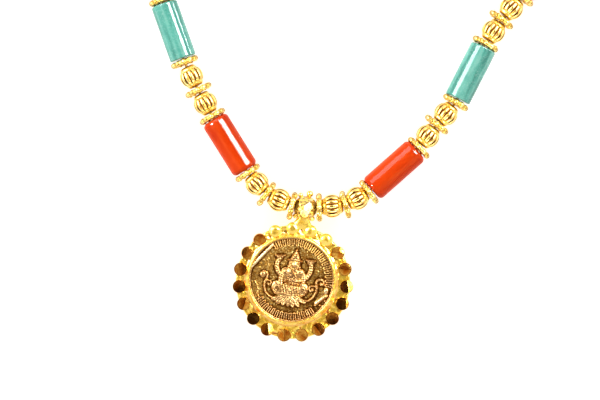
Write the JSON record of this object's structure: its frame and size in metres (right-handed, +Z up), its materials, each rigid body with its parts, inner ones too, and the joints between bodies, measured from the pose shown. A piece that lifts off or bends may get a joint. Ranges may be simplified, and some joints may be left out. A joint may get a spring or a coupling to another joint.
{
  "type": "mangalsutra necklace",
  "caption": "Closed string of coral and turquoise tube beads, fluted gold beads and granule discs, laid flat, with a coin pendant in a ring of flat-cut studs.",
  "frame": {"origin": "middle of the laid-out necklace's footprint, on the surface that it lies on", "axes": "+Y from the pendant towards the clasp, +X to the right as seen from above, +Z up out of the surface"},
  "size_m": [0.1238, 0.2108, 0.0064],
  "materials": {
    "gold": "polished",
    "coin_gold": "struck, with darker field",
    "coral": "glossy",
    "turquoise": "glossy",
    "thread": "matte"
  },
  "bodies": {
    "root": {"pendant_frame": "gold", "coin": "coin_gold", "thread": "thread", "clasp": "gold", "back_fluted_beads": "gold", "back_granule_discs": "gold", "left_coral_tube_1": "coral", "left_turquoise_tube_1": "turquoise", "left_coral_tube_2": "coral", "left_turquoise_tube_2": "turquoise", "left_coral_tube_3": "coral", "left_turquoise_tube_3": "turquoise", "left_coral_tube_4": "coral", "left_turquoise_tube_4": "turquoise", "right_coral_tube_1": "coral", "right_turquoise_tube_1": "turquoise", "right_coral_tube_2": "coral", "right_turquoise_tube_2": "turquoise", "right_coral_tube_3": "coral", "right_turquoise_tube_3": "turquoise", "right_coral_tube_4": "coral", "right_turquoise_tube_4": "turquoise", "left_fluted_bead_1": "gold", "left_fluted_bead_2": "gold", "left_fluted_bead_3": "gold", "left_fluted_bead_4": "gold", "right_fluted_bead_1": "gold", "right_fluted_bead_2": "gold", "right_fluted_bead_3": "gold", "right_fluted_bead_4": "gold", "right_fluted_bead_5": "gold", "right_fluted_bead_6": "gold", "left_granule_disc_1": "gold", "left_granule_disc_2": "gold", "left_granule_disc_3": "gold", "left_granule_disc_4": "gold", "left_granule_disc_5": "gold", "left_granule_disc_6": "gold", "left_granule_disc_7": "gold", "right_granule_disc_1": "gold", "right_granule_disc_2": "gold", "right_granule_disc_3": "gold", "right_granule_disc_4": "gold", "right_granule_disc_5": "gold", "right_granule_disc_6": "gold", "right_granule_disc_7": "gold", "right_granule_disc_8": "gold", "right_granule_disc_9": "gold"}
  },
  "joints": []
}
